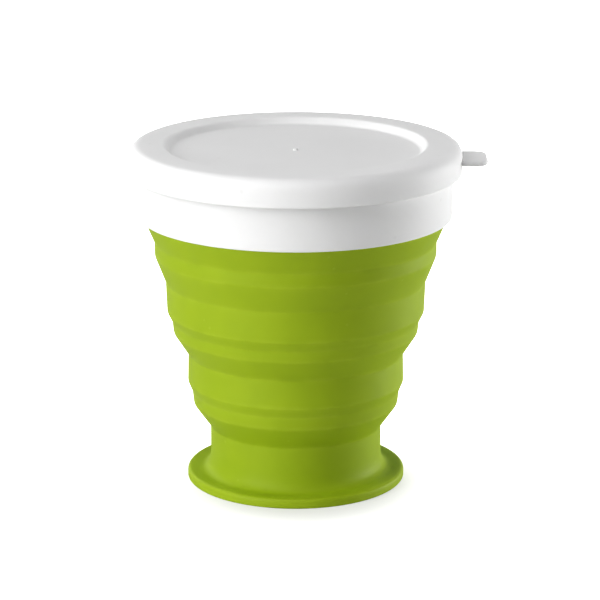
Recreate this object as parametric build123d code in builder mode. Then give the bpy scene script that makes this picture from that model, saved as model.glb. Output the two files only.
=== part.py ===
"""Collapsible travel cup: a stepped silicone wall that folds down round its foot, a collar and a lid.

Lengths are in millimetres. The origin is the centre of the foot's underside, +Z runs up the
cup's axis and +X points along the lid's pull tab.
"""

import os
from typing import NamedTuple

from build123d import *

os.makedirs("parts", exist_ok=True)

# Silicone wall thicknesses, measured level across the wall. The wall is thin at its hinge
# creases and thick at the ribs, so that it folds at the creases.
BAND_WALL = 1.2
RIB_WALL = 1.4
HINGE_WALL = 0.9

# Foot: a round flange that is also the cup's floor, and a hollow neck that flares onto it.
FLANGE_THICKNESS = 2.5
FLANGE_REACH = 6.0
FLANGE_TOP_ROUND = 1.1
FLANGE_BOTTOM_ROUND = 0.5
NECK_RADIUS = 21.9
NECK_HEIGHT = 11.5
FLARE_REACH = 2.4
FLARE_HEIGHT = 4.6


class Fold(NamedTuple):
    """A folding zone: a web that leans out, a stiff rib, and a ledge up to the next band."""

    web_step: float
    web_rise: float
    rib_step: float
    rib_rise: float
    ledge_step: float
    ledge_rise: float


LOWER_FOLD = Fold(4.3, 6.0, 0.35, 3.3, 1.1, 2.6)
MIDDLE_FOLD = Fold(3.7, 5.7, 0.3, 2.9, 1.25, 2.55)
UPPER_FOLD = Fold(2.7, 6.9, 0.0, 3.5, 2.55, 5.9)

# Stiff bands between the folds. The step is how far a band leans out from bottom to top.
LOWER_BAND_STEP = -0.15
LOWER_BAND_HEIGHT = 7.4
MIDDLE_BAND_STEP = 0.3
MIDDLE_BAND_HEIGHT = 7.85
TOP_BAND_HEIGHT = 15.4

# The top band's bead, which locks it in the collar's groove.
BEAD_REACH = 0.5
BEAD_HEIGHT = 2.0
BEAD_DROP = 4.0
SEAT_CLEARANCE = 0.05

# Collar: a plastic ring round the top band, with a drinking lip over the silicone's edge and
# a snap bead outside for the lid.
COLLAR_WALL = 1.25
COLLAR_BOTTOM_STEP = 0.5
COLLAR_BOTTOM_ROUND = 0.5
LIP_HEIGHT = 1.6
LIP_ROUND = 0.6
SNAP_REACH = 0.5
SNAP_HEIGHT = 1.2
SNAP_DROP = 2.1
SNAP_CLEARANCE = 0.15

# Lid: a skirt over the collar, a plug ring inside it, a sunken panel and a pull tab.
LID_WALL = 1.5
LID_SKIRT_GAP = 0.9
LID_ROOF_GAP = 0.3
LID_SKIRT_HEIGHT = 7.1
LID_EDGE_REACH = 1.8
LID_EDGE_DROP = 2.9
LID_LIP_ROUND = 0.4
CATCH_HEIGHT = 1.0
CATCH_LIFT = 0.6
PLUG_CLEARANCE = 0.15
PLUG_WALL = 1.2
PLUG_DEPTH = 4.3
PLUG_TIP_ROUND = 0.5
RECESS_INSET = 2.75
RECESS_SLOPE = 1.4
RECESS_DEPTH = 1.8
PIP_RADIUS = 0.5
PIP_HEIGHT = 0.4
TAB_REACH = 6.2
TAB_WIDTH = 13.0
TAB_THICKNESS = 1.35
TAB_CORNER = 3.0
TAB_LIFT = 2.4


def fold_points(start, fold):
    """The outer corners of a folding zone, upwards from its lower crease."""
    radius, height = start
    rib_bottom = (radius + fold.web_step, height + fold.web_rise)
    rib_top = (rib_bottom[0] + fold.rib_step, rib_bottom[1] + fold.rib_rise)
    end = (rib_top[0] + fold.ledge_step, rib_top[1] + fold.ledge_rise)
    return [start, rib_bottom, rib_top, end]


def moved_in(point, wall):
    """The point on the wall's inner face level with an outer point."""
    return (point[0] - wall, point[1])


def turn_fold(points, label):
    """The solid of one folding zone, thin at both creases and thick at the rib."""
    walls = [HINGE_WALL, RIB_WALL, RIB_WALL, HINGE_WALL]
    inner = [moved_in(point, wall) for point, wall in zip(points, walls)]
    with BuildPart() as fold:
        with BuildSketch(Plane.XZ):
            with BuildLine():
                Polyline(*points, *reversed(inner), close=True)
            make_face()
        revolve(axis=Axis.Z)
    fold.part.label = label
    return fold.part


def turn_band(bottom, top, label):
    """The solid of one stiff band between two folds."""
    with BuildPart() as band:
        with BuildSketch(Plane.XZ):
            with BuildLine():
                Polyline(bottom, top, moved_in(top, BAND_WALL), moved_in(bottom, BAND_WALL), close=True)
            make_face()
        revolve(axis=Axis.Z)
    band.part.label = label
    return band.part


# The outer line of the silicone wall, from the neck's top crease up to the collar.
neck_top = (NECK_RADIUS, FLANGE_THICKNESS + NECK_HEIGHT)
lower_fold_points = fold_points(neck_top, LOWER_FOLD)
lower_band_bottom = lower_fold_points[-1]
lower_band_top = (lower_band_bottom[0] + LOWER_BAND_STEP, lower_band_bottom[1] + LOWER_BAND_HEIGHT)
middle_fold_points = fold_points(lower_band_top, MIDDLE_FOLD)
middle_band_bottom = middle_fold_points[-1]
middle_band_top = (
    middle_band_bottom[0] + MIDDLE_BAND_STEP,
    middle_band_bottom[1] + MIDDLE_BAND_HEIGHT,
)
upper_fold_points = fold_points(middle_band_top, UPPER_FOLD)
rim_radius, rim_bottom = upper_fold_points[-1]
rim_top = rim_bottom + TOP_BAND_HEIGHT
rim_inner = rim_radius - BAND_WALL

# Foot flange, flat underneath.
flange_radius = NECK_RADIUS + FLANGE_REACH
with BuildPart() as foot_flange:
    with BuildSketch(Plane.XZ):
        with BuildLine():
            FilletPolyline(
                (0, 0),
                (flange_radius, 0),
                (flange_radius, FLANGE_THICKNESS),
                (0, FLANGE_THICKNESS),
                radius=[0, FLANGE_BOTTOM_ROUND, FLANGE_TOP_ROUND, 0],
                close=True,
            )
        make_face()
    revolve(axis=Axis.Z)
foot_flange.part.label = "foot_flange"

# Neck wall, with a hollow flare where it meets the flange.
neck_inner = NECK_RADIUS - BAND_WALL
with BuildPart() as neck_band:
    with BuildSketch(Plane.XZ):
        with BuildLine():
            flare = EllipticalCenterArc(
                (NECK_RADIUS + FLARE_REACH, FLANGE_THICKNESS + FLARE_HEIGHT),
                FLARE_REACH,
                FLARE_HEIGHT,
                start_angle=180,
                arc_size=90,
            )
            Polyline(
                flare @ 0,
                neck_top,
                moved_in(neck_top, BAND_WALL),
                (neck_inner, FLANGE_THICKNESS),
                flare @ 1,
            )
        make_face()
    revolve(axis=Axis.Z)
neck_band.part.label = "neck_band"

# Folding zones and the stiff bands between them.
lower_fold = turn_fold(lower_fold_points, "lower_fold")
lower_band = turn_band(lower_band_bottom, lower_band_top, "lower_band")
middle_fold = turn_fold(middle_fold_points, "middle_fold")
middle_band = turn_band(middle_band_bottom, middle_band_top, "middle_band")
upper_fold = turn_fold(upper_fold_points, "upper_fold")

# Top band: the silicone inside the collar, with its locking bead.
bead_top = rim_top - BEAD_DROP
bead_bottom = bead_top - BEAD_HEIGHT
bead_radius = rim_radius + BEAD_REACH
with BuildPart() as top_band:
    with BuildSketch(Plane.XZ):
        with BuildLine():
            Polyline(
                (rim_inner, rim_bottom),
                (rim_radius, rim_bottom),
                (rim_radius, bead_bottom),
                (bead_radius, bead_bottom),
                (bead_radius, bead_top),
                (rim_radius, bead_top),
                (rim_radius, rim_top),
                (rim_inner, rim_top),
                close=True,
            )
        make_face()
    revolve(axis=Axis.Z)
top_band.part.label = "top_band"

# Rim collar: groove for the bead inside, drinking lip on top, snap bead outside.
collar_inner = rim_radius + SEAT_CLEARANCE
collar_outer = collar_inner + COLLAR_WALL
collar_bottom = rim_bottom + COLLAR_BOTTOM_STEP
lip_bottom = rim_top + SEAT_CLEARANCE
collar_top = lip_bottom + LIP_HEIGHT
groove_radius = bead_radius + SEAT_CLEARANCE
groove_bottom = bead_bottom - SEAT_CLEARANCE
groove_top = bead_top + SEAT_CLEARANCE
snap_radius = collar_outer + SNAP_REACH
snap_top = collar_top - SNAP_DROP
snap_bottom = snap_top - SNAP_HEIGHT
with BuildPart() as rim_collar:
    with BuildSketch(Plane.XZ):
        with BuildLine():
            FilletPolyline(
                (collar_inner, collar_bottom),
                (collar_outer, collar_bottom),
                (collar_outer, snap_bottom),
                (snap_radius, (snap_bottom + snap_top) / 2),
                (collar_outer, snap_top),
                (collar_outer, collar_top),
                (rim_inner, collar_top),
                (rim_inner, lip_bottom),
                (collar_inner, lip_bottom),
                (collar_inner, groove_top),
                (groove_radius, groove_top),
                (groove_radius, groove_bottom),
                (collar_inner, groove_bottom),
                radius=[0, COLLAR_BOTTOM_ROUND, 0, 0, 0, LIP_ROUND, LIP_ROUND, 0, 0, 0, 0, 0, 0],
                close=True,
            )
        make_face()
    revolve(axis=Axis.Z)
rim_collar.part.label = "rim_collar"

# Lid: one moulding, turned, with the pull tab joined to its skirt.
skirt_inner = collar_outer + LID_SKIRT_GAP
lid_radius = skirt_inner + LID_WALL
catch_radius = snap_radius + SNAP_CLEARANCE
lid_roof = collar_top + LID_ROOF_GAP
lid_top = lid_roof + LID_WALL
skirt_bottom = lid_top - LID_SKIRT_HEIGHT
catch_bottom = skirt_bottom + CATCH_LIFT
plug_outer = rim_inner - PLUG_CLEARANCE
plug_inner = plug_outer - PLUG_WALL
plug_bottom = lid_roof - PLUG_DEPTH
recess_edge = plug_inner - RECESS_INSET
panel_radius = recess_edge - RECESS_SLOPE
panel_top = lid_top - RECESS_DEPTH
panel_bottom = panel_top - LID_WALL
tab_bottom = skirt_bottom + TAB_LIFT
with BuildPart() as lid:
    with BuildSketch(Plane.XZ):
        with BuildLine():
            edge = EllipticalCenterArc(
                (lid_radius - LID_EDGE_REACH, lid_top - LID_EDGE_DROP),
                LID_EDGE_REACH,
                LID_EDGE_DROP,
                start_angle=0,
                arc_size=90,
            )
            Polyline(
                edge @ 1,
                (recess_edge, lid_top),
                (panel_radius, panel_top),
                (PIP_RADIUS, panel_top),
                (PIP_RADIUS, panel_top + PIP_HEIGHT),
                (0, panel_top + PIP_HEIGHT),
                (0, panel_bottom),
                (panel_radius + LID_WALL, panel_bottom),
                (recess_edge + LID_WALL, lid_roof),
                (plug_inner, lid_roof),
            )
            FilletPolyline(
                (plug_inner, lid_roof),
                (plug_inner, plug_bottom),
                (plug_outer, plug_bottom),
                (plug_outer, lid_roof),
                (skirt_inner, lid_roof),
                (skirt_inner, catch_bottom + CATCH_HEIGHT),
                (catch_radius, catch_bottom + CATCH_HEIGHT / 2),
                (skirt_inner, catch_bottom),
                (skirt_inner, skirt_bottom),
                (lid_radius, skirt_bottom),
                edge @ 0,
                radius=[PLUG_TIP_ROUND, PLUG_TIP_ROUND, 0, 0, 0, 0, 0, LID_LIP_ROUND, LID_LIP_ROUND],
            )
        make_face()
    revolve(axis=Axis.Z)
    with BuildSketch(Plane.XY.offset(tab_bottom)):
        with Locations((lid_radius - LID_WALL / 2, 0)):
            Rectangle(TAB_REACH + LID_WALL / 2, TAB_WIDTH, align=(Align.MIN, Align.CENTER))
        fillet(vertices().group_by(Axis.X)[-1], radius=TAB_CORNER)
    extrude(amount=TAB_THICKNESS)
lid.part.label = "lid"

export_step(foot_flange.part, "parts/foot_flange.step")
export_step(neck_band.part, "parts/neck_band.step")
export_step(lower_fold, "parts/lower_fold.step")
export_step(lower_band, "parts/lower_band.step")
export_step(middle_fold, "parts/middle_fold.step")
export_step(middle_band, "parts/middle_band.step")
export_step(upper_fold, "parts/upper_fold.step")
export_step(top_band.part, "parts/top_band.step")
export_step(rim_collar.part, "parts/rim_collar.step")
export_step(lid.part, "parts/lid.step")
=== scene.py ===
"""Looks of a collapsible travel cup with a folding silicone wall, a rim collar and a press-on lid.

Lengths are in metres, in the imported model's frame: the origin is under the foot, +Z runs up the
cup's axis and +X points along the lid's pull tab.
"""

import math

import bpy
import numpy as np
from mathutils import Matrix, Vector


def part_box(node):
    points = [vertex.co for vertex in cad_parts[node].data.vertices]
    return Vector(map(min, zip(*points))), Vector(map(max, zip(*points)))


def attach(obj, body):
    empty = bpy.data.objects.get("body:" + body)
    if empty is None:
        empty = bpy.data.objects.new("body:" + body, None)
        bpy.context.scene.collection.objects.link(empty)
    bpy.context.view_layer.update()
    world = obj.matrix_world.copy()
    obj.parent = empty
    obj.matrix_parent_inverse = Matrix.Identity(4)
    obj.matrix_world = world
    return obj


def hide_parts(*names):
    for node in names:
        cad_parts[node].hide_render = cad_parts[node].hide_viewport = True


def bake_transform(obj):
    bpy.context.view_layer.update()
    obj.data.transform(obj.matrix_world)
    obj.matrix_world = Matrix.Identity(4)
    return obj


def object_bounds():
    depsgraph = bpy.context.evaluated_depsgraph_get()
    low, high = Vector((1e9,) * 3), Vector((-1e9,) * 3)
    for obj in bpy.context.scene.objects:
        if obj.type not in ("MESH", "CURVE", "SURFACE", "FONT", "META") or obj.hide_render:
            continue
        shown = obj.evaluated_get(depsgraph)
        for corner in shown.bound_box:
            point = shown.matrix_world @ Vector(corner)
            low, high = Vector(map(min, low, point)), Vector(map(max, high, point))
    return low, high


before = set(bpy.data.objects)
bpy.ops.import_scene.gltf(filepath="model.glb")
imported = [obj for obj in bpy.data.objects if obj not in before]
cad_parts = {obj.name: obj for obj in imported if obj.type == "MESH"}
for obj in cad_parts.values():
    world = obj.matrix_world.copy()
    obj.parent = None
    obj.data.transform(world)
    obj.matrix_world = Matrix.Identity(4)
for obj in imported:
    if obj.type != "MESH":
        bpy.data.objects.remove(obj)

cad_low, cad_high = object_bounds()
scene = bpy.context.scene
scene.view_settings.view_transform = "Standard"
scene.view_settings.look = "High Contrast"

# ---- Camera ----
# A long lens in front of the cup, a little above it and looking down on the lid.
CAMERA_DISTANCE = 0.6712
CAMERA_HEIGHT = 0.2313
CAMERA_ASIDE = 0.0011
CAMERA_DOWN = 0.2686

bpy.ops.object.camera_add(
    location=(CAMERA_ASIDE, -CAMERA_DISTANCE, CAMERA_HEIGHT),
    rotation=(math.pi / 2 - CAMERA_DOWN, 0, 0),
)
camera = bpy.context.object
camera.name = "camera"
camera.data.lens = 163.7
scene.camera = camera

# ---- Table and studio ----
# A plain white sweep that glows to the eye, so that it is seen as pure white but for a soft shade
# round the cup's foot. That shade is partly the cup's real shadow and partly painted shadow: the
# glow is lowered near the foot, round a middle set off towards the front. The lamps are soft: a
# broad main one on the left, a low narrow one on the right that lights the cup's edge, two behind
# it and one above.
TABLE_SIZE = 6.0
TABLE_WHITE = (0.85, 0.85, 0.85, 1)
TABLE_SEEN = (0.35, 0.35, 0.35, 1)
# Where the painted shadow round the foot is centred, where it fades out, and how low the glow is
# inside it.
PAINTED_SHADOW_MIDDLE = (0.001, -0.009, 0)
PAINTED_SHADOW_START = 0.019
PAINTED_SHADOW_END = 0.056
PAINTED_SHADOW_GLOW = 0.38
FAR_GLOW = 1.3
SKY_LIGHT = 0.078
LAMP_DISTANCE = 0.9

bpy.ops.mesh.primitive_plane_add(size=TABLE_SIZE, location=(0, 0, cad_low.z))
table = bpy.context.object
table.name = "table"

table_paint = bpy.data.materials.new("table_paint")
table_paint.use_nodes = True
tree = table_paint.node_tree
paint = tree.nodes["Principled BSDF"]
paint.inputs["Roughness"].default_value = 0.9
paint.inputs["Emission Color"].default_value = (1, 1, 1, 1)
place = tree.nodes.new("ShaderNodeTexCoord")
away = tree.nodes.new("ShaderNodeVectorMath")
away.operation = "DISTANCE"
away.inputs[1].default_value = PAINTED_SHADOW_MIDDLE
# Painted shadow: the glow is lowest near the foot and rises smoothly to full white away from it.
glow_with_painted_shadow = tree.nodes.new("ShaderNodeMapRange")
glow_with_painted_shadow.interpolation_type = "SMOOTHSTEP"
glow_with_painted_shadow.inputs["From Min"].default_value = PAINTED_SHADOW_START
glow_with_painted_shadow.inputs["From Max"].default_value = PAINTED_SHADOW_END
glow_with_painted_shadow.inputs["To Min"].default_value = PAINTED_SHADOW_GLOW
glow_with_painted_shadow.inputs["To Max"].default_value = FAR_GLOW
seen = tree.nodes.new("ShaderNodeLightPath")
seen_glow_with_painted_shadow = tree.nodes.new("ShaderNodeMath")
seen_glow_with_painted_shadow.operation = "MULTIPLY"
tree.links.new(place.outputs["Object"], away.inputs[0])
tree.links.new(away.outputs["Value"], glow_with_painted_shadow.inputs["Value"])
tree.links.new(glow_with_painted_shadow.outputs["Result"], seen_glow_with_painted_shadow.inputs[0])
tree.links.new(seen.outputs["Is Camera Ray"], seen_glow_with_painted_shadow.inputs[1])
tree.links.new(seen_glow_with_painted_shadow.outputs["Value"], paint.inputs["Emission Strength"])
white = tree.nodes.new("ShaderNodeMix")
white.data_type = "RGBA"
white.inputs["A"].default_value = TABLE_WHITE
white.inputs["B"].default_value = TABLE_SEEN
tree.links.new(seen.outputs["Is Camera Ray"], white.inputs["Factor"])
tree.links.new(white.outputs["Result"], paint.inputs["Base Color"])
table.data.materials.append(table_paint)


def add_lamp(name, azimuth, elevation, width, height, power):
    """A soft lamp that looks at the cup's middle. Azimuth 0 is in front, and 90 is on the right."""
    middle = (cad_low + cad_high) / 2
    turn_by, rise = math.radians(azimuth), math.radians(elevation)
    level = math.cos(rise)
    away = Vector((math.sin(turn_by) * level, -math.cos(turn_by) * level, math.sin(rise)))
    facing = (-away).to_track_quat("-Z", "Y").to_euler()
    bpy.ops.object.light_add(type="AREA", location=middle + away * LAMP_DISTANCE, rotation=facing)
    lamp = bpy.context.object
    lamp.name = lamp.data.name = name
    lamp.data.shape = "RECTANGLE"
    lamp.data.size = width
    lamp.data.size_y = height
    lamp.data.energy = power


add_lamp("lamp_left", -51, 19, 0.5, 0.8, 4.65)
add_lamp("lamp_right", 109, 3, 0.4, 0.14, 4.1)
add_lamp("lamp_back_left", -140, 22, 0.5, 0.8, 1.9)
add_lamp("lamp_back_right", 160, 22, 0.5, 0.8, 1.0)
add_lamp("lamp_above", -30, 70, 0.7, 0.6, 2.25)

sky = bpy.data.worlds.new("sky")
sky.use_nodes = True
tree = sky.node_tree
seen = tree.nodes.new("ShaderNodeLightPath")
level = tree.nodes.new("ShaderNodeMapRange")
level.inputs["To Min"].default_value = SKY_LIGHT
level.inputs["To Max"].default_value = FAR_GLOW
tree.links.new(seen.outputs["Is Camera Ray"], level.inputs["Value"])
tree.links.new(level.outputs["Result"], tree.nodes["Background"].inputs["Strength"])
tree.nodes["Background"].inputs["Color"].default_value = (1, 1, 1, 1)
scene.world = sky

# ---- Silicone foot ----
# The bottom of the one-piece silicone cup: a round flange that is also the cup's floor, and a
# hollow neck that flares onto it. Moulded in soft matt silicone, coloured through.
MM = 0.001
TURN_SIDES = 192
RUN_STEP = 1.1 * MM
ROUND_STEPS = 6
MERGE_GAP = 0.001 * MM
SMOOTH_ANGLE = math.radians(40)
RUB_REACH = 0.9 * MM

BAND_WALL = 1.2 * MM
NECK_RADIUS = 21.9 * MM
FLARE_REACH = 2.6 * MM
FLARE_HEIGHT = 4.8 * MM
SEAM_DROP = 1.4 * MM
UNDERSIDE_CAP_INSET = 6.0 * MM
FLOOR_CAP_INSET = 8.0 * MM
FLANGE_BOTTOM_EASE = 0.5 * MM
FLANGE_TOP_EASE = 1.1 * MM
FLOOR_EASE = 1.0 * MM


def outline(corners):
    """Points along (radius, height, ease) corners. A corner is rounded from its ease before it to
    its ease after it, which a fourth value can set apart, and long runs get points between."""
    points = [Vector(corners[0][:2])]

    def run_to(spot):
        start = points[-1].copy()
        count = max(1, math.ceil((spot - start).length / RUN_STEP))
        points.extend(start.lerp(spot, i / count) for i in range(1, count + 1))

    for before, corner, after in zip(corners, corners[1:], corners[2:]):
        tip = Vector(corner[:2])
        if len(corner) == 2:
            run_to(tip)
            continue
        enter = tip + (Vector(before[:2]) - tip).normalized() * corner[2]
        leave = tip + (Vector(after[:2]) - tip).normalized() * corner[-1]
        run_to(enter)
        for i in range(1, ROUND_STEPS + 1):
            share = i / ROUND_STEPS
            points.append(enter.lerp(tip, share).lerp(tip.lerp(leave, share), share))
    run_to(Vector(corners[-1][:2]))
    return points


def turn(name, corners, cored):
    """Turn an outline about the cup's axis by drawing one ring on from point to point. A cored
    piece is capped at both ends, and any other closes on its first ring."""
    points = outline(corners)
    bpy.ops.object.select_all(action="DESELECT")
    bpy.ops.mesh.primitive_circle_add(
        vertices=TURN_SIDES,
        radius=points[0].x,
        fill_type="TRIFAN" if cored else "NOTHING",
        location=(0, 0, points[0].y),
    )
    piece = bpy.context.object
    piece.name = piece.data.name = name
    bpy.ops.object.transform_apply(location=True, rotation=False, scale=False)
    bpy.ops.object.mode_set(mode="EDIT")
    for before, after in zip(points, points[1:]):
        rise = {"value": (0, 0, after.y - before.y)}
        bpy.ops.mesh.extrude_region_move(TRANSFORM_OT_translate=rise)
        grow = after.x / before.x
        bpy.ops.transform.resize(value=(grow, grow, 1), center_override=(0, 0, 0))
    bpy.ops.mesh.select_all(action="SELECT")
    bpy.ops.mesh.remove_doubles(threshold=MERGE_GAP)
    bpy.ops.mesh.normals_make_consistent(inside=False)
    bpy.ops.object.mode_set(mode="OBJECT")
    bpy.ops.object.shade_smooth_by_angle(angle=SMOOTH_ANGLE)
    return piece


def mark_surface(piece, rubbed):
    """Keep each point's place at rest, for patterns that follow the surface as it folds, and how
    near it is to a corner that hands and other things rub."""
    count = len(piece.data.vertices)
    place = np.zeros(count * 3)
    piece.data.vertices.foreach_get("co", place)
    rest = piece.data.attributes.new("rest_place", "FLOAT_VECTOR", "POINT")
    rest.data.foreach_set("vector", place)
    place = place.reshape(-1, 3)
    level = np.hypot(place[:, 0], place[:, 1])
    nearest = np.full(count, np.inf)
    for corner in rubbed:
        nearest = np.minimum(nearest, np.hypot(level - corner[0], place[:, 2] - corner[1]))
    rub = piece.data.attributes.new("rub", "FLOAT", "POINT")
    rub.data.foreach_set("value", np.clip(1 - nearest / RUB_REACH, 0, 1))


def moved_in(corner, wall):
    """The corner of the wall's inner face level with an outer corner, with the same rounding."""
    return (corner[0] - wall, *corner[1:])


flange_low, flange_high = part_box("foot_flange")
neck_low, neck_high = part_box("neck_band")
flange_radius = flange_high.x
foot_seam = (NECK_RADIUS, neck_high.z - SEAM_DROP)
foot_corners = [
    (flange_radius - UNDERSIDE_CAP_INSET, flange_low.z),
    (flange_radius, flange_low.z, FLANGE_BOTTOM_EASE),
    (flange_radius, flange_high.z, FLANGE_TOP_EASE),
    (NECK_RADIUS, flange_high.z, FLARE_REACH, FLARE_HEIGHT),
    foot_seam,
    moved_in(foot_seam, BAND_WALL),
    (NECK_RADIUS - BAND_WALL, flange_high.z, FLOOR_EASE),
    (NECK_RADIUS - FLOOR_CAP_INSET, flange_high.z),
]
foot = turn("silicone_foot", foot_corners, cored=True)
mark_surface(foot, foot_corners[1:3])


def node_of(tree, kind, place, **values):
    """A node of that kind at a place on the sheet, with its named inputs set."""
    node = tree.nodes.new(kind)
    node.location = place
    for name, value in values.items():
        node.inputs[name.replace("_", " ")].default_value = value
    return node


def new_group(name, inputs, outputs):
    """An empty node group with those named sockets, and its two end nodes."""
    group = bpy.data.node_groups.new(name, "ShaderNodeTree")
    for label, kind in inputs:
        group.interface.new_socket(name=label, in_out="INPUT", socket_type="NodeSocket" + kind)
    for label, kind in outputs:
        group.interface.new_socket(name=label, in_out="OUTPUT", socket_type="NodeSocket" + kind)
    entry = node_of(group, "NodeGroupInput", (-900, 0))
    return group, entry, node_of(group, "NodeGroupOutput", (600, 0))


def shade_of(tree, low, high, share, place):
    """A node at a place on the sheet that mixes two colours by a share."""
    mix = tree.nodes.new("ShaderNodeMix")
    mix.data_type = "RGBA"
    mix.location = place
    mix.inputs["A"].default_value = low
    mix.inputs["B"].default_value = high
    tree.links.new(share, mix.inputs["Factor"])
    return mix


# The mould's fine grain: a spark-eroded surface gives the tooled roughness, and the material's
# flow in the mould gives slow waves and cloudy patches of tone.
grain, grain_in, grain_out = new_group(
    "mould_grain",
    [("Place", "Vector"), ("Grain Size", "Float"), ("Wave Size", "Float")],
    [("Height", "Float"), ("Cloud", "Float"), ("Fleck", "Float")],
)
fine = node_of(grain, "ShaderNodeTexNoise", (-600, 200), Detail=3.0, Roughness=0.6)
wave = node_of(grain, "ShaderNodeTexNoise", (-600, -50), Detail=2.0, Roughness=0.45)
fleck = node_of(grain, "ShaderNodeTexVoronoi", (-600, -300), Randomness=1.0)
blend_height = node_of(grain, "ShaderNodeMath", (-250, 150))
blend_height.operation = "MULTIPLY_ADD"
blend_height.inputs[1].default_value = 0.35
fleck_spot = node_of(grain, "ShaderNodeMapRange", (-250, -300))
fleck_spot.inputs["From Min"].default_value = 0.07
fleck_spot.inputs["From Max"].default_value = 0.03
for node, size in ((fine, "Grain Size"), (wave, "Wave Size"), (fleck, "Wave Size")):
    grain.links.new(grain_in.outputs["Place"], node.inputs["Vector"])
    grain.links.new(grain_in.outputs[size], node.inputs["Scale"])
grain.links.new(fine.outputs["Fac"], blend_height.inputs[0])
grain.links.new(wave.outputs["Fac"], blend_height.inputs[2])
grain.links.new(fleck.outputs["Distance"], fleck_spot.inputs["Value"])
grain.links.new(blend_height.outputs["Value"], grain_out.inputs["Height"])
grain.links.new(wave.outputs["Fac"], grain_out.inputs["Cloud"])
grain.links.new(fleck_spot.outputs["Result"], grain_out.inputs["Fleck"])

# Rubbed corners: where the surface's rub mark is high, broken up by noise so that the wear is
# patchy, as hands leave it.
wear, wear_in, wear_out = new_group(
    "rubbed_corner",
    [("Place", "Vector"), ("Rub", "Float"), ("Patch Size", "Float")],
    [("Mask", "Float")],
)
patch = node_of(wear, "ShaderNodeTexNoise", (-600, 0), Detail=4.0, Roughness=0.6)
patch_level = node_of(wear, "ShaderNodeMapRange", (-350, 0))
patch_level.inputs["From Min"].default_value = 0.35
patch_level.inputs["From Max"].default_value = 0.65
patchy = node_of(wear, "ShaderNodeMath", (-100, 0))
patchy.operation = "MULTIPLY"
wear.links.new(wear_in.outputs["Place"], patch.inputs["Vector"])
wear.links.new(wear_in.outputs["Patch Size"], patch.inputs["Scale"])
wear.links.new(patch.outputs["Fac"], patch_level.inputs["Value"])
wear.links.new(patch_level.outputs["Result"], patchy.inputs[0])
wear.links.new(wear_in.outputs["Rub"], patchy.inputs[1])
wear.links.new(patchy.outputs["Value"], wear_out.inputs["Mask"])


def moulded(name, colours, rough, gloss, grain_size, wave_size, bump):
    """A moulded material: its body colour clouds between two tones, its rubbed corners and dust
    flecks have tones of their own, and its grain gives the finish."""
    material = bpy.data.materials.new(name)
    material.use_nodes = True
    tree = material.node_tree
    surface = tree.nodes["Principled BSDF"]
    surface.inputs["Specular IOR Level"].default_value = gloss
    place = node_of(tree, "ShaderNodeAttribute", (-1300, 100))
    place.attribute_name = "rest_place"
    rub = node_of(tree, "ShaderNodeAttribute", (-1300, -200))
    rub.attribute_name = "rub"
    mould = node_of(tree, "ShaderNodeGroup", (-1000, 100))
    mould.node_tree = grain
    mould.inputs["Grain Size"].default_value = grain_size
    mould.inputs["Wave Size"].default_value = wave_size
    worn = node_of(tree, "ShaderNodeGroup", (-1000, -200))
    worn.node_tree = wear
    worn.inputs["Patch Size"].default_value = wave_size
    tree.links.new(place.outputs["Vector"], mould.inputs["Place"])
    tree.links.new(place.outputs["Vector"], worn.inputs["Place"])
    tree.links.new(rub.outputs["Fac"], worn.inputs["Rub"])

    body = shade_of(tree, colours["deep"], colours["body"], mould.outputs["Cloud"], (-700, 200))
    rubbed = shade_of(tree, colours["body"], colours["rubbed"], worn.outputs["Mask"], (-450, 200))
    tree.links.new(body.outputs["Result"], rubbed.inputs["A"])
    dusty = shade_of(tree, colours["body"], colours["dust"], mould.outputs["Fleck"], (-200, 200))
    tree.links.new(rubbed.outputs["Result"], dusty.inputs["A"])
    tree.links.new(dusty.outputs["Result"], surface.inputs["Base Color"])

    finish = node_of(tree, "ShaderNodeMapRange", (-700, -100), To_Min=rough[0], To_Max=rough[1])
    tree.links.new(mould.outputs["Height"], finish.inputs["Value"])
    tree.links.new(finish.outputs["Result"], surface.inputs["Roughness"])

    relief = node_of(tree, "ShaderNodeBump", (-450, -300), Strength=bump[0], Distance=bump[1])
    tree.links.new(mould.outputs["Height"], relief.inputs["Height"])
    tree.links.new(relief.outputs["Normal"], surface.inputs["Normal"])
    return material


silicone = moulded(
    "green_silicone",
    colours={
        "deep": (0.348, 0.462, 0.018, 1),
        "body": (0.383, 0.497, 0.022, 1),
        "rubbed": (0.400, 0.515, 0.032, 1),
        "dust": (0.395, 0.508, 0.036, 1),
    },
    rough=(0.5, 0.65),
    gloss=0.4,
    grain_size=3200,
    wave_size=140,
    bump=(0.6, 0.05 * MM),
)
foot.data.materials.append(silicone)
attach(foot, "foot")
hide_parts("foot_flange", "neck_band")

# ---- Silicone lower tier ----
# The first stepped stretch of the same moulding. A web leans out to a stiff rib, and a ledge leads
# on to a stiff band. The wall is thin at its creases, where it rolls over as the cup folds.
HINGE_WALL = 0.9 * MM
RIB_WALL = 1.4 * MM
CREASE_EASE = 0.5 * MM
RIB_EASE = 0.55 * MM
LEDGE_EASE = 0.35 * MM
LOWER_RIB_BOTTOM = (26.2 * MM, 6.0 * MM)
LOWER_RIB_TOP = (26.55 * MM, 9.3 * MM)
LOWER_BAND_RADIUS = 27.52 * MM


def fold_corners(bottom, rib_bottom, rib_top, ledge_top):
    """The outer corners of a fold with their rounding. The rib's heights are above the bottom."""
    return [
        (*bottom, CREASE_EASE),
        (rib_bottom[0], bottom[1] + rib_bottom[1], RIB_EASE),
        (rib_top[0], bottom[1] + rib_top[1], RIB_EASE),
        (*ledge_top, LEDGE_EASE),
    ]


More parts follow.
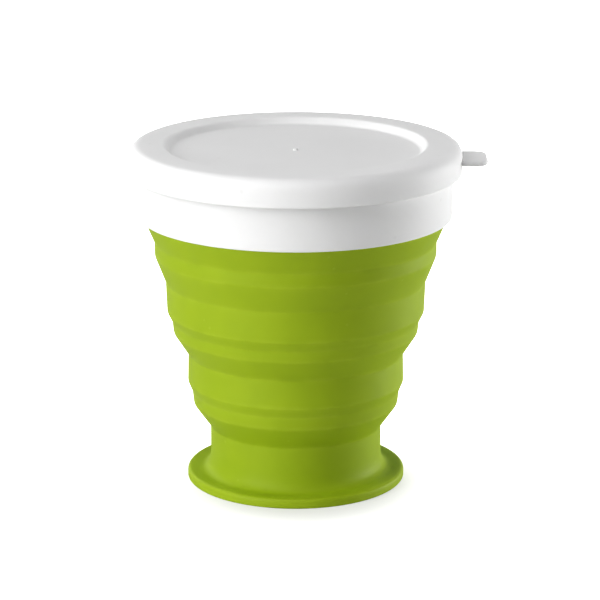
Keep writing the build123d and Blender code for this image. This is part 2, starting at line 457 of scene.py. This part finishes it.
def tier_wall(seam, fold, top):
    """The closed wall of a tier: its lower seam, the fold's four creases, and what is above it."""
    walls = (HINGE_WALL, RIB_WALL, RIB_WALL, HINGE_WALL)
    inner_fold = [moved_in(corner, wall) for corner, wall in zip(fold, walls)]
    inner_seam = moved_in(seam, BAND_WALL)
    return [seam, *fold, *top, *reversed(inner_fold), inner_seam, seam]


def make_tier(name, seam, fold, top):
    """A tier's silicone wall, which rolls over at its fold; it is attached to no body."""
    tier = turn(name, tier_wall(seam, fold, top), cored=False)
    mark_surface(tier, fold)
    tier.data.materials.append(silicone)
    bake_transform(tier)
    return tier


lower_low, lower_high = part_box("lower_band")
lower_bottom = (NECK_RADIUS, neck_high.z)
lower_ledge = (lower_high.x, lower_low.z)
lower_fold = fold_corners(lower_bottom, LOWER_RIB_BOTTOM, LOWER_RIB_TOP, lower_ledge)
lower_seam = (LOWER_BAND_RADIUS, lower_high.z - SEAM_DROP)
lower_top = [lower_seam, moved_in(lower_seam, BAND_WALL)]
lower_tier = make_tier(
    "silicone_lower_tier", foot_seam, lower_fold, lower_top
)
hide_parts("lower_fold", "lower_band")

# ---- Silicone middle tier ----
# The second stepped stretch of the moulding, wider than the first, so that it folds down round it.
MIDDLE_CREASE_RADIUS = 27.5 * MM
MIDDLE_RIB_BOTTOM = (31.2 * MM, 5.7 * MM)
MIDDLE_RIB_TOP = (31.5 * MM, 8.6 * MM)
MIDDLE_LEDGE_RADIUS = 32.75 * MM
MIDDLE_BAND_RADIUS = 33.0 * MM

middle_low, middle_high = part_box("middle_band")
middle_bottom = (MIDDLE_CREASE_RADIUS, lower_high.z)
middle_ledge = (MIDDLE_LEDGE_RADIUS, middle_low.z)
middle_fold = fold_corners(middle_bottom, MIDDLE_RIB_BOTTOM, MIDDLE_RIB_TOP, middle_ledge)
middle_seam = (MIDDLE_BAND_RADIUS, middle_high.z - SEAM_DROP)
middle_top = [middle_seam, moved_in(middle_seam, BAND_WALL)]
middle_tier = make_tier(
    "silicone_middle_tier", lower_seam, middle_fold, middle_top
)
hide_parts("middle_fold", "middle_band")

# ---- Silicone upper tier ----
# The widest stretch, and the top of the moulding. Its tall band stands inside the rim collar, and
# a bead round the band locks into the collar's groove.
UPPER_RIB_RADIUS = 35.75 * MM
UPPER_RIB_BOTTOM = (UPPER_RIB_RADIUS, 6.9 * MM)
UPPER_RIB_TOP = (UPPER_RIB_RADIUS, 10.4 * MM)
BEAD_HEIGHT = 2.0 * MM
BEAD_REACH = 0.5 * MM
BEAD_DROP = 4.0 * MM
BEAD_EASE = 0.2 * MM

top_low, top_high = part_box("top_band")
top_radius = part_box("upper_fold")[1].x
upper_bottom = (middle_high.x, middle_high.z)
upper_ledge = (top_radius, top_low.z)
upper_fold = fold_corners(upper_bottom, UPPER_RIB_BOTTOM, UPPER_RIB_TOP, upper_ledge)
bead_top = top_high.z - BEAD_DROP
upper_top = [
    (top_radius, bead_top - BEAD_HEIGHT),
    (top_radius + BEAD_REACH, bead_top - BEAD_HEIGHT, BEAD_EASE),
    (top_radius + BEAD_REACH, bead_top, BEAD_EASE),
    (top_radius, bead_top),
    (top_radius, top_high.z),
    (top_radius - BAND_WALL, top_high.z),
]
upper_tier = make_tier(
    "silicone_upper_tier", middle_seam, upper_fold, upper_top
)
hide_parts("upper_fold", "top_band")

# ---- Rim collar ----
# A white plastic ring round the silicone's top edge. It has a groove inside for the silicone's
# bead, a rounded drinking lip on top and a snap bead outside that the lid clips over.
SEAT_CLEARANCE = 0.05 * MM
SNAP_REACH = 0.5 * MM
SNAP_HEIGHT = 1.2 * MM
SNAP_DROP = 2.1 * MM
SNAP_EASE = 0.3 * MM
SMALL_EASE = 0.2 * MM
COLLAR_FOOT_EASE = 0.45 * MM
COLLAR_TOP_EASE = 0.6 * MM

collar_low, collar_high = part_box("rim_collar")
snap_radius = collar_high.x
collar_radius = snap_radius - SNAP_REACH
collar_inner = top_radius + SEAT_CLEARANCE
lip_radius = top_radius - BAND_WALL
lip_bottom = top_high.z + SEAT_CLEARANCE
snap_top = collar_high.z - SNAP_DROP
groove_radius = top_radius + BEAD_REACH + SEAT_CLEARANCE
groove_top = bead_top + SEAT_CLEARANCE
groove_bottom = bead_top - BEAD_HEIGHT - SEAT_CLEARANCE
collar_corners = [
    (collar_inner, collar_low.z),
    (collar_radius, collar_low.z, COLLAR_FOOT_EASE),
    (collar_radius, snap_top - SNAP_HEIGHT, SMALL_EASE),
    (snap_radius, snap_top - SNAP_HEIGHT / 2, SNAP_EASE),
    (collar_radius, snap_top, SMALL_EASE),
    (collar_radius, collar_high.z, COLLAR_TOP_EASE),
    (lip_radius, collar_high.z, COLLAR_TOP_EASE),
    (lip_radius, lip_bottom, SMALL_EASE),
    (collar_inner, lip_bottom),
    (collar_inner, groove_top),
    (groove_radius, groove_top),
    (groove_radius, groove_bottom),
    (collar_inner, groove_bottom),
    (collar_inner, collar_low.z),
]
collar = turn("collar", collar_corners, cored=False)
# Rubbed: the outer edge at the foot, and both edges of the drinking lip.
mark_surface(collar, [collar_corners[1], *collar_corners[5:7]])

plastic_finish = {
    "colours": {
        "deep": (0.86, 0.86, 0.86, 1),
        "body": (0.88, 0.88, 0.88, 1),
        "rubbed": (0.90, 0.90, 0.90, 1),
        "dust": (0.83, 0.83, 0.825, 1),
    },
    "rough": (0.5, 0.65),
    "gloss": 0.3,
    "grain_size": 4200,
    "wave_size": 110,
    "bump": (0.25, 0.03 * MM),
}
collar_plastic = moulded("collar_plastic", **plastic_finish)
collar.data.materials.append(collar_plastic)
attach(collar, "rim")
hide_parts("rim_collar")

# ---- Lid ----
# One white plastic moulding: a skirt with an inner catch bead, a plug ring that seals inside the
# cup, a sunken centre panel with the moulding pip, and a thin pull tab on the skirt.
LID_WALL = 1.5 * MM
LID_CAP_RADIUS = 4.0 * MM
SKIRT_WALL = 1.5 * MM
SKIRT_INSIDE_EASE = 0.35 * MM
SKIRT_OUTSIDE_EASE = 0.45 * MM
CATCH_LIFT = 0.6 * MM
CATCH_HEIGHT = 1.0 * MM
CATCH_REACH = 0.25 * MM
EDGE_REACH = 2.9 * MM
EDGE_DROP = 3.6 * MM
PLUG_RADIUS = 36.95 * MM
PLUG_WALL = 1.2 * MM
PLUG_DEPTH = 4.3 * MM
PLUG_INSIDE_EASE = 0.4 * MM
PLUG_OUTSIDE_EASE = 0.5 * MM
ROOF_EASE = 0.3 * MM
ROOF_RECESS_EASE = 0.4 * MM
ROOF_SKIRT_EASE = 0.5 * MM
RECESS_RADIUS = 33.0 * MM
PANEL_RADIUS = 31.6 * MM
RECESS_DEPTH = 1.8 * MM
RECESS_EASE = 0.6 * MM
PANEL_UNDER_EASE = 0.5 * MM
PIP_RADIUS = 0.5 * MM
PIP_HEIGHT = 0.4 * MM
PIP_SLOPE = 0.15 * MM
PIP_FOOT_EASE = 0.1 * MM
PIP_TOP_EASE = 0.15 * MM
PIP_CAP_RADIUS = 0.2 * MM
TAB_ROOT = 0.7 * MM
TAB_WIDTH = 13.0 * MM
TAB_THICKNESS = 1.35 * MM
TAB_CORNER = 3.0 * MM
TAB_ROUND = 0.5 * MM
TAB_LIFT = 2.4 * MM

lid_low, lid_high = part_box("lid")
lid_radius = lid_high.y
skirt_inner = lid_radius - SKIRT_WALL
roof = lid_high.z - LID_WALL
plug_bottom = roof - PLUG_DEPTH
panel_top = lid_high.z - RECESS_DEPTH
panel_bottom = panel_top - LID_WALL
catch_bottom = lid_low.z + CATCH_LIFT
lid_corners = [
    (LID_CAP_RADIUS, panel_bottom),
    (PANEL_RADIUS + LID_WALL, panel_bottom, PANEL_UNDER_EASE),
    (RECESS_RADIUS + LID_WALL, roof, ROOF_RECESS_EASE),
    (PLUG_RADIUS - PLUG_WALL, roof, ROOF_EASE),
    (PLUG_RADIUS - PLUG_WALL, plug_bottom, PLUG_INSIDE_EASE),
    (PLUG_RADIUS, plug_bottom, PLUG_OUTSIDE_EASE),
    (PLUG_RADIUS, roof, ROOF_EASE),
    (skirt_inner, roof, ROOF_SKIRT_EASE),
    (skirt_inner, catch_bottom + CATCH_HEIGHT, SMALL_EASE),
    (skirt_inner - CATCH_REACH, catch_bottom + CATCH_HEIGHT / 2, SMALL_EASE),
    (skirt_inner, catch_bottom, SMALL_EASE),
    (skirt_inner, lid_low.z, SKIRT_INSIDE_EASE),
    (lid_radius, lid_low.z, SKIRT_OUTSIDE_EASE),
    (lid_radius, lid_high.z, EDGE_DROP, EDGE_REACH),
    (RECESS_RADIUS, lid_high.z, RECESS_EASE),
    (PANEL_RADIUS, panel_top, RECESS_EASE),
    (PIP_RADIUS + PIP_SLOPE, panel_top, PIP_FOOT_EASE),
    (PIP_RADIUS, panel_top + PIP_HEIGHT, PIP_TOP_EASE),
    (PIP_CAP_RADIUS, panel_top + PIP_HEIGHT),
]
lid = turn("lid_cover", lid_corners, cored=True)

# The tab is a plate that starts inside the skirt's wall. Its two outer corners are rounded, it is
# drawn up to its thickness, its edges are eased, and it is joined to the skirt.
bpy.ops.object.select_all(action="DESELECT")
tab_start = lid_radius - TAB_ROOT
tab_length = lid_high.x - tab_start
tab_bottom = lid_low.z + TAB_LIFT
bpy.ops.mesh.primitive_plane_add(size=1, location=(tab_start + tab_length / 2, 0, tab_bottom))
tab = bpy.context.object
tab.scale = (tab_length, TAB_WIDTH, 1)
bpy.ops.object.transform_apply(location=True, rotation=False, scale=True)
tab.data.polygons[0].select = False
for edge in tab.data.edges:
    edge.select = False
for corner in tab.data.vertices:
    corner.select = corner.co.x > tab_start + MERGE_GAP
bpy.ops.object.mode_set(mode="EDIT")
bpy.ops.mesh.select_mode(type="VERT")
bpy.ops.mesh.bevel(offset=TAB_CORNER, segments=10, affect="VERTICES")
bpy.ops.mesh.select_all(action="SELECT")
bpy.ops.mesh.extrude_region_move(TRANSFORM_OT_translate={"value": (0, 0, TAB_THICKNESS)})
bpy.ops.mesh.select_all(action="SELECT")
bpy.ops.mesh.normals_make_consistent(inside=False)
bpy.ops.mesh.select_all(action="DESELECT")
bpy.ops.mesh.select_mode(type="EDGE")
bpy.ops.mesh.edges_select_sharp(sharpness=SMOOTH_ANGLE)
bpy.ops.mesh.bevel(offset=TAB_ROUND, segments=4)
bpy.ops.object.mode_set(mode="OBJECT")

bpy.ops.object.select_all(action="DESELECT")
lid.select_set(True)
bpy.context.view_layer.objects.active = lid
bpy.ops.object.modifier_add(type="BOOLEAN")
lid.modifiers[-1].operation = "UNION"
lid.modifiers[-1].object = tab
lid.modifiers[-1].solver = "EXACT"
bpy.ops.object.modifier_apply(modifier=lid.modifiers[-1].name)
bpy.ops.object.shade_smooth_by_angle(angle=SMOOTH_ANGLE)
bpy.ops.object.select_all(action="DESELECT")
tab.select_set(True)
bpy.ops.object.delete()

# Rubbed: the skirt's bottom edge, the top's outer edge and both edges of the sunken panel.
mark_surface(lid, lid_corners[12:16])
lid_plastic = moulded("lid_plastic", **plastic_finish)
lid.data.materials.append(lid_plastic)
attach(lid, "lid")
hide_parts("lid")
